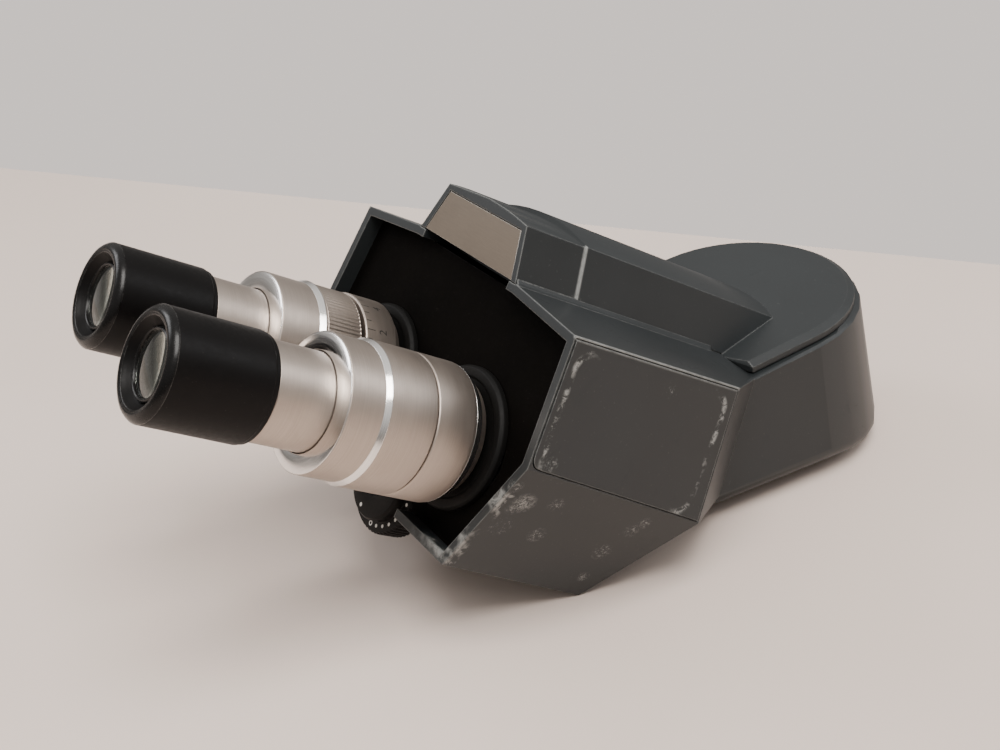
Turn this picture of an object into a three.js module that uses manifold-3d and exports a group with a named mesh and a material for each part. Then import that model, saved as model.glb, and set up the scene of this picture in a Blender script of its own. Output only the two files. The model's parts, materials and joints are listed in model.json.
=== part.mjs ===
// Binocular head of a laboratory microscope, in millimetres.
//
// Every piece is drawn in the frame of the eyetubes: +X to the user's right, +Y up across the
// tubes, +Z along the tubes towards the user's eyes. One group turns that frame so that the head
// lies on a table, with +Z up and the origin under its middle.
import * as THREE from 'three';
import { mergeVertices } from 'three/addons/utils/BufferGeometryUtils.js';
import { ConvexGeometry } from 'three/addons/geometries/ConvexGeometry.js';
import Module from 'manifold-3d';

const wasm = await Module();
wasm.setup();

// ---------- driving dimensions ----------
const tubeTilt = 37.68; // degrees from the cap's plane up to the tubes
const lean = 6; // degrees that the cap rises to the rear as the head lies on a table
const gap = 0.3; // between touching pieces
const roundSides = 32;
const smallSides = 20;

const eyeSpacing = 57.2; // between the tube axes as the head stands
const eyeSpacingLow = 55;
const eyeSpacingHigh = 75;

const wall = 3;
const rimZ = -1.3; // plane of the hood's front rim
const shoulderIn = [30.2, 51.7]; // hood outline, right half, as x and y
const shoulderOut = [65, 48];
const waist = [69.5, 7.7];
const keel = [52, -33];
const sideDepth = 71.7; // hood side, front to rear along the shoulder
const waistRear = [70, 2.93, -77.1];
const keelRear = [52.84, -35.6, -59.1];

const humpTop = [24, 69.1];
const humpCrown = 3.3; // extra height of the hump's top behind its front block
const humpFrontLength = 25;
const humpFrontCrown = 1.9;
const humpStep = 0.4; // the front block's sides lie this far inside the hump's
const humpWall = 2.5;

const capY = 139.6; // centre of the round cap, in the cap's frame
const capZ = -18;
const capRadius = 40;
const capBevel = 2.5;
const capThick = 3.7;
const bodyRadiusTop = 44.4;
const bodyDraft = 0.1; // growth of the radius per millimetre of depth
const bodyFrontY = 86;
const bodyFillet = 6.5;
const bodyBendY = 114; // the bottom is level ahead of this and slopes behind it
const bodyBottomFront = -65;
const bodyBottomRear = -79.4;
const bodyRearY = 178;

const eyepieceRadius = 16.5;
const eyepieceLength = 31.1;
const eyepieceNose = 1.8;
const eyepieceNoseRadius = 15;
const eyeLensRadius = 10.2;
const barrelRadius = 11.55;
const barrelLength = 26;
const barrelBore = 10;
const socketRadius = 14.9;
const socketLength = 18.4;
const socketDeep = 22; // how far the socket reaches into its sleeve
const sleeveRadius = 21.2;
const bandRadius = 22.2;
const tubeEndRadius = 20.3;
const tubeRearZ = 1.1;
const rightFrontZ = 49.8;
const rightBandZ = 36;
const rightJointZ = 19.2;
const leftFrontZ = 45.6;
const leftBandZ = 28.5;
const leftJointZ = 13.8;
const dioptreGap = 1.2; // between scale ring and dioptre ring as the head stands
const bandWidth = 3;

const coreRadius = 18;
const neckRadius = 14;
const lightBore = 9.5;
const collarRadius = 23.1;
const collarFrontZ = -3.8;
const collarThick = 2.9;
const baffleZ = -7;
const baffleThick = 2;

const carriageFrontZ = -14;
const carriageRearZ = -34;
const carriageRadius = 17.5;
const rodRadius = 3;
const rodZ = -24;
const upperRodY = 24;
const lowerRodY = -20;
const upperRodHalf = 61;
const lowerRodHalf = 51.5;
const lugHalf = 14;
const lowerLugHalf = 9;
const frameZ = -60;
const frameThick = 3;
const dialPostThick = 4;

const gearTeeth = 12;
const gearModule = 1;
const toothTip = 0.8;
const toothRoot = 1.2;
const dialY = -28.5;
const dialFaceRadius = 13.4;
const dialRadius = 18.3;
const dialFrontZ = -4;
const dialRimZ = -8;
const dialRearZ = -16;
const dialShaftRadius = 2;
const rackBack = 2.2;
const rackFrontZ = carriageRearZ - gap;
const rackDepth = 6;
const dialGearDepth = 4;
const dialGearZ = rackFrontZ - rackDepth - 1.2;

const prismLeg = 16;
const splitterSide = 12;
const prismZ = rackFrontZ - rackDepth - gap - splitterSide / 2; // behind the racks

const mountY = 124; // centre of the mount ring, in the cap's frame
const mountRadius = 26;
const mountBore = 15;
const mountNeckRadius = 21;
const mountFlange = 4;
const mountHeight = 14;
const mountLensZ = 9; // height of the lens's seat over the table
const floorZ = -61.4; // top of the housing's floor, in the cap's frame

const beamZ = -52; // height of the level part of the light's path, in the cap's frame
const bendY = 67.3; // where the level path turns up into the tubes, in the cap's frame
const mirrorThick = 2.2;
const bendMirrorHalf = 19;
const mountMirrorHalf = 11.5;
const mirrorHalfWidth = 10;

// ---------- frames ----------
const tilt = THREE.MathUtils.degToRad(tubeTilt);
const leanAngle = THREE.MathUtils.degToRad(lean);
const capTurn = tilt - Math.PI / 2; // from the cap's frame to the tubes' frame, about X
const tableTurn = capTurn - leanAngle; // from the table's frame to the tubes' frame, about X
const xAxis = new THREE.Vector3(1, 0, 0);
const rightX = eyeSpacing / 2;
const pitchRadius = gearTeeth * gearModule / 2;
const transferY = dialY + 2 * pitchRadius;

function fromCap(x, y, z) {
  return new THREE.Vector3(x, y, z).applyAxisAngle(xAxis, capTurn);
}

// ---------- solids ----------
function signedVolume(positions, index) {
  const a = new THREE.Vector3();
  const b = new THREE.Vector3();
  const c = new THREE.Vector3();
  let volume = 0;
  for (let i = 0; i < index.length; i += 3) {
    a.fromBufferAttribute(positions, index[i]);
    b.fromBufferAttribute(positions, index[i + 1]);
    c.fromBufferAttribute(positions, index[i + 2]);
    volume += a.dot(b.cross(c)) / 6;
  }
  return volume;
}

// One closed skin with shared corners and its faces pointing out.
function weld(geometry) {
  const bare = geometry.clone();
  bare.deleteAttribute('normal');
  bare.deleteAttribute('uv');
  const merged = mergeVertices(bare, 1e-4);
  const index = [];
  const all = merged.index.array;
  for (let i = 0; i < all.length; i += 3) {
    const [a, b, c] = [all[i], all[i + 1], all[i + 2]];
    if (a !== b && b !== c && c !== a) index.push(a, b, c);
  }
  if (signedVolume(merged.attributes.position, index) < 0) index.reverse();
  merged.setIndex(index);
  return merged;
}

function solid(geometry) {
  const skin = weld(geometry);
  return new wasm.Manifold(new wasm.Mesh({
    numProp: 3,
    vertProperties: new Float32Array(skin.attributes.position.array),
    triVerts: new Uint32Array(skin.index.array),
  }));
}

function toGeometry(body) {
  const mesh = body.getMesh();
  const geometry = new THREE.BufferGeometry();
  geometry.setAttribute('position', new THREE.BufferAttribute(mesh.vertProperties, 3));
  geometry.setIndex(new THREE.BufferAttribute(mesh.triVerts, 1));
  return geometry;
}

function joined(first, ...rest) {
  return rest.reduce((sum, next) => sum.add(next), first);
}

function without(first, ...rest) {
  return rest.reduce((left, next) => left.subtract(next), first);
}

// A body of revolution about the tube axis. Points are [radius, z].
function turned(points, sides = roundSides) {
  const profile = points.map(([r, z]) => new THREE.Vector2(r, z));
  profile.push(profile[0].clone());
  return new THREE.LatheGeometry(profile, sides).rotateX(Math.PI / 2);
}

function rod(radius, z0, z1, sides = smallSides) {
  return turned([[0, z0], [radius, z0], [radius, z1], [0, z1]], sides);
}

function tube(outer, inner, z0, z1, sides = roundSides) {
  return turned([[inner, z0], [outer, z0], [outer, z1], [inner, z1]], sides);
}

function box(x0, x1, y0, y1, z0, z1) {
  const shape = new THREE.BoxGeometry(x1 - x0, y1 - y0, z1 - z0);
  return shape.translate((x0 + x1) / 2, (y0 + y1) / 2, (z0 + z1) / 2);
}

// A flat outline of [x, y] corners, thickened from z0 to z1.
function slab(points, z0, z1) {
  const outline = new THREE.Shape(points.map(([x, y]) => new THREE.Vector2(x, y)));
  const options = { depth: z1 - z0, bevelEnabled: false, curveSegments: smallSides };
  return new THREE.ExtrudeGeometry(outline, options).translate(0, 0, z0);
}

function mirrorX(points) {
  return points.map(([x, ...rest]) => [-x, ...rest]);
}

function bothSides(points) {
  return [...points, ...mirrorX(points).reverse()];
}

// ---------- convex casting shapes ----------
const inside = new THREE.Vector3(0, 5, -45);

function face(p, q, r) {
  const plane = new THREE.Plane().setFromCoplanarPoints(p, q, r);
  if (plane.distanceToPoint(inside) > 0) plane.negate();
  return plane;
}

function mirrored(plane) {
  return new THREE.Plane(plane.normal.clone().multiply(new THREE.Vector3(-1, 1, 1)), plane.constant);
}

function movedIn(plane, distance) {
  return new THREE.Plane(plane.normal.clone(), plane.constant + distance);
}

function meetingPoint(a, b, c) {
  const cross = new THREE.Vector3().crossVectors(b.normal, c.normal);
  const scale = a.normal.dot(cross);
  if (Math.abs(scale) < 1e-6) return null;
  const ca = new THREE.Vector3().crossVectors(c.normal, a.normal);
  const ab = new THREE.Vector3().crossVectors(a.normal, b.normal);
  const sum = cross.multiplyScalar(-a.constant);
  sum.addScaledVector(ca, -b.constant).addScaledVector(ab, -c.constant);
  return sum.divideScalar(scale);
}

// The solid behind every one of these planes.
function convex(planes) {
  const corners = [];
  for (let i = 0; i < planes.length; i += 1) {
    for (let j = i + 1; j < planes.length; j += 1) {
      for (let k = j + 1; k < planes.length; k += 1) {
        const point = meetingPoint(planes[i], planes[j], planes[k]);
        const held = point && planes.every((plane) => plane.distanceToPoint(point) < 1e-4);
        const known = held && corners.some((corner) => corner.distanceTo(point) < 1e-3);
        if (held && !known) corners.push(point);
      }
    }
  }
  return new ConvexGeometry(corners);
}

// ---------- the hood and the rear body ----------
const at = (pair, z) => new THREE.Vector3(pair[0], pair[1], z);
const shoulderRear = at(shoulderOut, rimZ - sideDepth);
const bodyTop = capZ - capThick - 2 * gap;
const bodyCorner = fromCap(bodyRadiusTop, 110, bodyTop - 0.5);
const frontFace = new THREE.Plane(new THREE.Vector3(0, 0, 1), -rimZ);
const deck = new THREE.Plane(new THREE.Vector3(0, 1, 0), -shoulderIn[1]);
const shoulder = face(at(shoulderIn, 0), at(shoulderIn, -50), at(shoulderOut, 0));
const cheek = face(at(shoulderOut, 0), at(shoulderOut, -50), at(waist, 0));
const jowl = face(at(waist, rimZ), new THREE.Vector3(...waistRear), at(keel, rimZ));
const chin = face(at(keel, rimZ), new THREE.Vector3(...keelRear), new THREE.Vector3(0, keel[1], rimZ));
const cheekRear = face(shoulderRear, new THREE.Vector3(...waistRear), bodyCorner);
const jowlRear = face(
  new THREE.Vector3(...waistRear),
  new THREE.Vector3(...keelRear),
  fromCap(bodyRadiusTop + 2, 80, bodyBottomFront + 3),
);
const belly = face(
  new THREE.Vector3(...keelRear),
  new THREE.Vector3(-keelRear[0], keelRear[1], keelRear[2]),
  fromCap(0, 90, bodyBottomFront),
);
const shoulderFacet = face(at(shoulderIn, -94), shoulderRear, bodyCorner);
const sidePlanes = [shoulder, cheek, jowl, cheekRear, jowlRear, shoulderFacet];
const hoodPlanes = [frontFace, deck, chin, belly, ...sidePlanes, ...sidePlanes.map(mirrored)];

function bodyBottom(y) {
  const slope = (bodyBottomRear - bodyBottomFront) / (bodyRearY - bodyBendY);
  return bodyBottomFront + Math.max(0, y - bodyBendY) * slope;
}

// One level line of the rear body, as points in the cap's frame.
function bodyLine(inset, level) {
  const points = [];
  const steps = 14;
  const add = (direction, y0, forward) => {
    const probe = level(y0);
    const radius = bodyRadiusTop + bodyDraft * (capZ - capThick - probe) - inset;
    const y = forward ? y0 : capY + radius * Math.sin(direction);
    points.push(fromCap(radius * Math.cos(direction), y, level(y)));
  };
  for (let i = 0; i <= steps; i += 1) {
    const direction = Math.PI * i / steps;
    add(direction, capY + bodyRadiusTop * Math.sin(direction), false);
  }
  for (const y of [bodyFrontY + inset, bodyBendY]) {
    add(0, y, true);
    add(Math.PI, y, true);
  }
  return points;
}

function rearBody(inset) {
  const top = bodyTop - inset;
  const floor = (height) => (y) => bodyBottom(y) + height + inset;
  const points = [...bodyLine(inset + 0.8, () => top), ...bodyLine(inset, () => top - 0.8)];
  const filletSteps = 6;
  for (let i = 0; i <= filletSteps; i += 1) {
    const turn = i / filletSteps * Math.PI / 2;
    const drawn = bodyFillet * (1 - Math.cos(turn));
    points.push(...bodyLine(inset + drawn, floor(bodyFillet * (1 - Math.sin(turn)))));
  }
  return new ConvexGeometry(points);
}

// A round plate parallel to the table over the middle of the mount.
function tableDisc(radius, z0, z1) {
  const y = fromCap(0, mountY, 0).applyAxisAngle(xAxis, -tableTurn).y;
  const disc = new THREE.CylinderGeometry(radius, radius, z1 - z0, roundSides);
  return disc.rotateX(Math.PI / 2).translate(0, y, (z0 + z1) / 2).rotateX(tableTurn);
}
const keelOnTable = new THREE.Vector3(...keelRear).applyAxisAngle(xAxis, -tableTurn);
const tableZ = keelOnTable.z;

function panelOutline(edge) {
  const run = Math.hypot(waist[0] - shoulderOut[0], shoulderOut[1] - waist[1]);
  const rearRun = Math.hypot(waistRear[0] - shoulderOut[0], shoulderOut[1] - waistRear[1]);
  const corner = 4;
  const outline = new THREE.Shape();
  outline.moveTo(rimZ - edge, -edge);
  outline.lineTo(rimZ - edge, -run + edge + corner);
  outline.quadraticCurveTo(rimZ - edge, -run + edge, rimZ - edge - corner, -run + edge - corner * 0.06);
  outline.lineTo(waistRear[2] + edge * 1.3, -rearRun + edge);
  outline.lineTo(rimZ - sideDepth + edge * 1.1, -edge);
  outline.closePath();
  return outline;
}

// A plate on the hood's right cheek, from `low` under its surface to `high` over it.
function cheekPlate(edge, low, high) {
  const options = { depth: high - low, bevelEnabled: false, curveSegments: 5 };
  const plate = new THREE.ExtrudeGeometry(panelOutline(edge), options).translate(0, 0, low);
  const down = new THREE.Vector3(waist[0] - shoulderOut[0], waist[1] - shoulderOut[1], 0).normalize();
  const up = down.clone().negate();
  const along = new THREE.Vector3(0, 0, 1);
  const out = new THREE.Vector3().crossVectors(up, along);
  const frame = new THREE.Matrix4().makeBasis(along, up, out);
  frame.setPosition(shoulderOut[0], shoulderOut[1], 0);
  return plate.applyMatrix4(frame);
}
const panelEdge = 0.8;
const panelThick = 1.2;
const panelProud = 0.3;

function flipped(geometry) {
  return geometry.clone().applyMatrix4(new THREE.Matrix4().makeScale(-1, 1, 1));
}

function humpPlanes(inset, crown) {
  const side = face(at(humpTop, 0), at(humpTop, -50), at(shoulderIn, 0));
  const roofParts = 4;
  const roofPoint = (i, z) => {
    const share = 1 - i / roofParts;
    return new THREE.Vector3(humpTop[0] * share, humpTop[1] + crown * (1 - share * share), z);
  };
  const shaped = [side];
  for (let i = 0; i < roofParts; i += 1) {
    shaped.push(face(roofPoint(i, 0), roofPoint(i, -50), roofPoint(i + 1, 0)));
  }
  return [...shaped, ...shaped.map(mirrored)].map((plane) => movedIn(plane, inset));
}

const humpBase = new THREE.Plane(new THREE.Vector3(0, -1, 0), shoulderIn[1]);
const humpRear = face(...[[0, 0], [1, 0], [0, 1]].map(([x, y]) => fromCap(x, y, capZ - 1))).negate();

function stepPlane(z, facing) {
  return new THREE.Plane(new THREE.Vector3(0, 0, facing), -facing * z);
}

// The plate under the round cap, grown by `margin`.
function capPlate(margin) {
  const points = [];
  const steps = 24;
  const frontY = 111;
  const lines = [
    [margin, capZ + margin],
    [capBevel + margin, capZ - capBevel * 0.6 + margin],
    [capBevel + margin, capZ - capThick - margin],
  ];
  for (const [grow, z] of lines) {
    const radius = capRadius + grow;
    for (let i = 0; i <= steps; i += 1) {
      const direction = Math.PI * i / steps;
      points.push(fromCap(radius * Math.cos(direction), capY + radius * Math.sin(direction), z));
    }
    for (const side of [1, -1]) {
      points.push(fromCap(side * radius, frontY, z));
      points.push(fromCap(side * (shoulderIn[0] + margin), frontY - 5, z));
    }
  }
  return new ConvexGeometry(points);
}

// The cover's outside: the long hump, the block at its front and the round cap.
function coverBody(margin) {
  const stepZ = rimZ - humpFrontLength;
  const grown = (planes) => planes.map((plane) => movedIn(plane, -margin));
  const rearEnds = [humpBase, humpRear, stepPlane(stepZ, 1)];
  const frontEnds = [humpBase, frontFace, stepPlane(stepZ - 1, -1)];
  const rearHump = convex(grown([...humpPlanes(0, humpCrown), ...rearEnds]));
  const frontHump = convex(grown([...humpPlanes(humpStep, humpFrontCrown), ...frontEnds]));
  return joined(solid(rearHump), solid(frontHump), solid(capPlate(margin)));
}

const plateLow = 51.9;
const plateHigh = 66.6;
const plateBorder = 3.2;
const plateThick = 1;

function humpHalfWidth(y) {
  const share = (y - shoulderIn[1]) / (humpTop[1] - shoulderIn[1]);
  return THREE.MathUtils.lerp(shoulderIn[0], humpTop[0], share);
}

function plateOutline(margin) {
  const low = [humpHalfWidth(plateLow) - plateBorder + margin, plateLow - margin];
  const high = [humpHalfWidth(plateHigh) - plateBorder + margin, plateHigh + margin];
  return bothSides([low, high]);
}

// ---------- pieces ----------
const paint = { color: 0x47484a, roughness: 0.55, metalness: 0.1 };
const black = { color: 0x14130f, roughness: 0.7, metalness: 0 };
const silver = { color: 0xcfc6bf, roughness: 0.35, metalness: 0.9 };
const steel = { color: 0x9a9a9c, roughness: 0.4, metalness: 0.9 };
const castAlloy = { color: 0x85868a, roughness: 0.6, metalness: 0.7 };
const glass = { color: 0xbfd0d2, roughness: 0.05, metalness: 0 };
const brass = { color: 0xb08d4a, roughness: 0.4, metalness: 0.9 };
const plate = { color: 0xa39a8e, roughness: 0.5, metalness: 0.4 };

const head = new THREE.Group();

function add(name, shape, look, x = 0, y = 0, z = 0) {
  const geometry = shape instanceof wasm.Manifold ? toGeometry(shape) : weld(shape);
  const mesh = new THREE.Mesh(geometry, new THREE.MeshStandardMaterial(look));
  mesh.name = name;
  mesh.position.set(x, y, z);
  head.add(mesh);
}

function makeHousing() {
  const outer = joined(solid(convex(hoodPlanes)), solid(rearBody(0)));
  const innerPlanes = hoodPlanes.map((plane) => movedIn(plane, wall));
  innerPlanes[0] = movedIn(frontFace, -5);
  const inner = joined(solid(convex(innerPlanes)), solid(rearBody(wall)));
  const humpOpening = box(-22, 22, shoulderIn[1] - 8, shoulderIn[1] + 2, -84, -16);
  const mouthTop = box(-26.5, 26.5, shoulderIn[1] - 8, shoulderIn[1] + 2, -15, 2);
  const capHole = new THREE.CylinderGeometry(30, 30, 10, smallSides).rotateX(Math.PI / 2);
  capHole.translate(0, capY - 3, capZ - capThick).applyMatrix4(new THREE.Matrix4().makeRotationX(capTurn));
  const dialSlot = box(-20.5, 20.5, keel[1] - 12, keel[1] + 12, dialRearZ - 3, 2);
  const gearSlot = box(-8, 8, keel[1] - 12, dialY + 8, dialGearZ - dialGearDepth - 1, 2);
  const mountHole = tableDisc(mountNeckRadius + gap, tableZ - 5, tableZ + mountHeight + 2);
  const mountSeat = tableDisc(mountRadius + gap, tableZ - 5, tableZ + mountFlange + gap);
  const panelPocket = cheekPlate(panelEdge - gap, -panelThick + panelProud - gap, 5);
  return without(
    outer,
    inner,
    solid(humpOpening),
    solid(mouthTop),
    solid(capHole),
    coverBody(gap),
    solid(dialSlot),
    solid(gearSlot),
    solid(mountHole),
    solid(mountSeat),
    solid(panelPocket),
    solid(flipped(panelPocket)),
  );
}

function makeTopCover() {
  const lowBase = movedIn(humpBase, -4);
  const ends = [lowBase, movedIn(humpRear, humpWall + 1), movedIn(frontFace, 4)];
  const hollow = convex([...humpPlanes(humpWall, humpFrontCrown), ...ends]);
  const pocket = slab(plateOutline(gap), rimZ - plateThick - 0.2 - gap, rimZ + 2);
  return without(coverBody(0), solid(hollow), solid(pocket));
}

add('housing', makeHousing(), paint);
add('top_cover', makeTopCover(), paint);
function makeNameplate() {
  return slab(plateOutline(0), rimZ - plateThick - 0.2, rimZ - 0.2);
}

function makeBaffle() {
  const slots = [1, -1].map((side) => {
    const near = side * eyeSpacingLow / 2;
    const far = side * eyeSpacingHigh / 2;
    const hole = neckRadius + gap + 0.2;
    const ends = [near, far].map((x) => solid(rod(hole, baffleZ - 9, baffleZ + 3).translate(x, 0, 0)));
    const middle = box(Math.min(near, far), Math.max(near, far), -hole, hole, baffleZ - 9, baffleZ + 3);
    return joined(solid(middle), ...ends);
  });
  const dialHole = rod(dialRadius + gap + 0.3, baffleZ - 9, baffleZ + 3).translate(0, dialY, 0);
  const sheet = convex([
    ...hoodPlanes.slice(1).map((plane) => movedIn(plane, wall + gap)),
    stepPlane(baffleZ, 1),
    stepPlane(baffleZ - baffleThick, -1),
  ]);
  const under = box(-20, 20, keel[1] - 9, dialY, baffleZ - 9, baffleZ + 3);
  return without(solid(sheet), ...slots, solid(dialHole), solid(under));
}

function makeMountRing() {
  const flangeTop = tableZ + mountFlange;
  const flange = tableDisc(mountRadius, tableZ, flangeTop);
  const neck = tableDisc(mountNeckRadius, flangeTop - 0.5, tableZ + mountHeight);
  const bore = tableDisc(mountBore, tableZ - 1, tableZ + mountHeight + 1);
  const step = tableDisc(mountBore + 2, tableZ + mountLensZ, tableZ + mountHeight + 1);
  return without(joined(solid(flange), solid(neck)), solid(bore), solid(step));
}

// Straight teeth around a wheel, with the first tooth on +Y.
function gearOutline() {
  const step = 2 * Math.PI / gearTeeth;
  const tip = pitchRadius + toothTip;
  const root = pitchRadius - toothRoot;
  const points = [];
  for (let i = 0; i < gearTeeth; i += 1) {
    const middle = Math.PI / 2 + i * step;
    for (const [radius, share] of [[root, -0.24], [tip, -0.11], [tip, 0.11], [root, 0.24]]) {
      const angle = middle + share * step;
      points.push([radius * Math.cos(angle), radius * Math.sin(angle)]);
    }
  }
  return points;
}

// A rack whose teeth point down from y = 0, its pitch line, and mesh with a gear tooth on x = 0.
function rackOutline(x0, x1) {
  const pitch = Math.PI * gearModule;
  const points = [[x0, toothRoot + rackBack], [x0, toothRoot]];
  const first = Math.ceil(x0 / pitch + 0.5);
  const last = Math.floor(x1 / pitch - 0.5);
  for (let i = first; i < last; i += 1) {
    const middle = (i + 0.5) * pitch;
    points.push([middle - 0.24 * pitch, toothRoot], [middle - 0.11 * pitch, -toothTip]);
    points.push([middle + 0.11 * pitch, -toothTip], [middle + 0.24 * pitch, toothRoot]);
  }
  points.push([x1, toothRoot], [x1, toothRoot + rackBack]);
  return points;
}

function makeCarriage() {
  const block = rod(carriageRadius, carriageRearZ, carriageFrontZ, roundSides);
  const upper = box(-lugHalf, lugHalf, 10, upperRodY + rodRadius + 3, carriageRearZ, carriageFrontZ);
  const lugBottom = lowerRodY - rodRadius - 2;
  const lower = box(-lowerLugHalf, lowerLugHalf, lugBottom, -10, carriageRearZ, carriageFrontZ);
  const bore = rod(neckRadius + gap, carriageRearZ - 1, carriageFrontZ + 1, roundSides);
  const rodHole = (y) => {
    const hole = rod(rodRadius + gap, -40, 40).rotateY(Math.PI / 2);
    return solid(hole.translate(0, y, rodZ));
  };
  return without(
    joined(solid(block), solid(upper), solid(lower)),
    solid(bore),
    rodHole(upperRodY),
    rodHole(lowerRodY),
  );
}

// Guide rods run along X through both carriages, and the frame's arms hold their ends.
function makeSlideFrame() {
  const armFront = rodZ + rodRadius + 3;
  const armWide = 4;
  const backPlate = slab(bothSides([
    [upperRodHalf - 4, upperRodY + 8],
    [upperRodHalf - 1, 0],
    [lowerRodHalf, -14],
    [lowerRodHalf, lowerRodY - 5],
  ]), frameZ - frameThick, frameZ);
  const arms = [1, -1].flatMap((side) => {
    const upperOut = upperRodHalf * side;
    const lowerOut = lowerRodHalf * side;
    const upperIn = upperOut - armWide * side;
    const lowerIn = lowerOut - armWide * side;
    const span = (a, b) => [Math.min(a, b), Math.max(a, b)];
    return [
      box(...span(upperIn, upperOut), upperRodY - 6, upperRodY + 6, frameZ - 1, armFront),
      box(...span(lowerIn, lowerOut), lowerRodY - 5, lowerRodY + 5, frameZ - 1, armFront),
    ];
  });
  const rodHoles = [upperRodY, lowerRodY].map((y) => {
    const hole = rod(rodRadius + gap, -90, 90).rotateY(Math.PI / 2);
    return solid(hole.translate(0, y, rodZ));
  });
  const window = box(-14, 14, -9, 9, frameZ - 5, frameZ + 5);
  const shaftHole = rod(dialShaftRadius + gap, frameZ - 5, frameZ + 5).translate(0, transferY, 0);
  const dialHole = rod(dialShaftRadius + gap, frameZ - 5, frameZ + 20).translate(0, dialY, 0);
  const postFront = dialGearZ - dialGearDepth - 1;
  const postFoot = box(-4, 4, lowerRodY - 5, lowerRodY, frameZ - 1, postFront);
  const post = box(-8, 8, dialY - 3.2, lowerRodY, postFront - dialPostThick, postFront);
  const plateAndArms = joined(solid(backPlate), ...[...arms, postFoot, post].map(solid));
  return without(plateAndArms, ...rodHoles, solid(window), solid(shaftHole), solid(dialHole));
}

function makeGuideRod(y, half) {
  return rod(rodRadius, -half, half).rotateY(Math.PI / 2).translate(0, y, rodZ);
}

// Right-angle prism: light enters along X at the inner face and leaves along +Z.
function tubePrism() {
  const half = prismLeg / 2;
  const outline = new THREE.Shape();
  outline.moveTo(-half, half);
  outline.lineTo(half, half);
  outline.lineTo(-half, -half);
  outline.closePath();
  const options = { depth: prismLeg, bevelEnabled: false };
  const prism = new THREE.ExtrudeGeometry(outline, options).translate(0, 0, -half);
  return prism.rotateX(Math.PI / 2).applyMatrix4(new THREE.Matrix4().makeScale(1, -1, 1));
}

// A cradle over and under the prism, with a web behind its slanted face.
function makePrismHolder() {
  const half = prismLeg / 2;
  const front = carriageRearZ - gap;
  const rear = prismZ - half - 1;
  const shelf = (y0, y1) => solid(box(-half, half + 2, y0, y1, rear, front));
  const web = solid(box(half + gap, half + 2, -half - 2, half + 2, rear, front));
  return joined(shelf(half + gap, half + 2), shelf(-half - 2, -half - gap), web);
}

function makeCore(frontZ) {
  const shoulderZ = tubeRearZ - gap;
  return turned([
    [lightBore, carriageRearZ + 1],
    [neckRadius, carriageRearZ + 1],
    [neckRadius, shoulderZ],
    [coreRadius, shoulderZ],
    [coreRadius, frontZ],
    [lightBore + 6, frontZ],
    [lightBore + 6, tubeRearZ + 10],
    [lightBore, tubeRearZ + 10],
  ]);
}

function makeCollar() {
  const rear = collarFrontZ - collarThick;
  return turned([
    [neckRadius + gap, rear],
    [collarRadius, rear],
    [collarRadius, collarFrontZ - 1],
    [collarRadius - 1, collarFrontZ],
    [neckRadius + gap, collarFrontZ],
  ]);
}

// The silver ring next to the collar, tapered at its rear end.
function makeBaseRing(frontZ) {
  return turned([
    [neckRadius + gap, tubeRearZ - 3],
    [tubeEndRadius - 2, tubeRearZ - 3],
    [tubeEndRadius, tubeRearZ],
    [tubeEndRadius, tubeRearZ + 0.5],
    [bandRadius, tubeRearZ + 4],
    [bandRadius, frontZ],
    [coreRadius + gap, frontZ],
    [coreRadius + gap, tubeRearZ - gap * 2],
    [neckRadius + gap, tubeRearZ - gap * 2],
  ]);
}

// A sleeve that steps from the band's radius to the front radius and closes on the socket.
function makeSleeve(rearZ, bandZ, frontZ) {
  const lip = 4;
  return turned([
    [coreRadius + gap, rearZ],
    [bandRadius, rearZ],
    [bandRadius, bandZ],
    [sleeveRadius, bandZ + bandWidth * 0.6],
    [sleeveRadius, frontZ],
    [socketRadius + gap, frontZ],
    [socketRadius + gap, frontZ - lip],
    [coreRadius + gap, frontZ - lip],
  ]);
}

function makeSocket(frontZ) {
  return tube(socketRadius, barrelRadius + gap, frontZ - socketDeep, frontZ + socketLength);
}

function makeEyepiece(side, frontZ, x) {
  const seat = frontZ + socketLength + gap;
  const rim = seat + eyepieceLength;
  const nose = rim + eyepieceNose;
  const bore = barrelRadius + gap;
  const lensSeat = eyeLensRadius + gap;
  const cap = turned([
    [bore, seat],
    [eyepieceRadius - 0.7, seat],
    [eyepieceRadius, seat + 1.6],
    [eyepieceRadius, rim],
    [eyepieceNoseRadius, nose],
    [eyepieceNoseRadius - 1.4, nose],
    [lensSeat, nose - 2.2],
    [lensSeat, rim - 6],
    [lensSeat + 1, rim - 6],
    [lensSeat + 1, rim - 9],
    [bore, rim - 9],
  ]);
  const barrel = tube(barrelRadius, barrelBore, seat - barrelLength, rim - 9 - gap, smallSides);
  const lens = turned([
    [0, rim - 5],
    [eyeLensRadius, rim - 5],
    [eyeLensRadius, nose - 3.6],
    [eyeLensRadius * 0.72, nose - 2.6],
    [eyeLensRadius * 0.38, nose - 2.1],
    [0, nose - 1.9],
  ]);
  const stop = tube(barrelBore - gap, 7, seat - 4, seat - 2, smallSides);
  const fieldLens = turned([
    [0, seat - barrelLength + 1],
    [5, seat - barrelLength + 1.4],
    [barrelBore - gap, seat - barrelLength + 3],
    [barrelBore - gap, seat - barrelLength + 5],
    [0, seat - barrelLength + 5],
  ], smallSides);
  add(`${side}_eyepiece_cap`, cap, black, x);
  add(`${side}_eyepiece_barrel`, barrel, steel, x);
  add(`${side}_eye_lens`, lens, glass, x);
  add(`${side}_field_stop`, stop, black, x);
  add(`${side}_field_lens`, fieldLens, glass, x);
}

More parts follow.
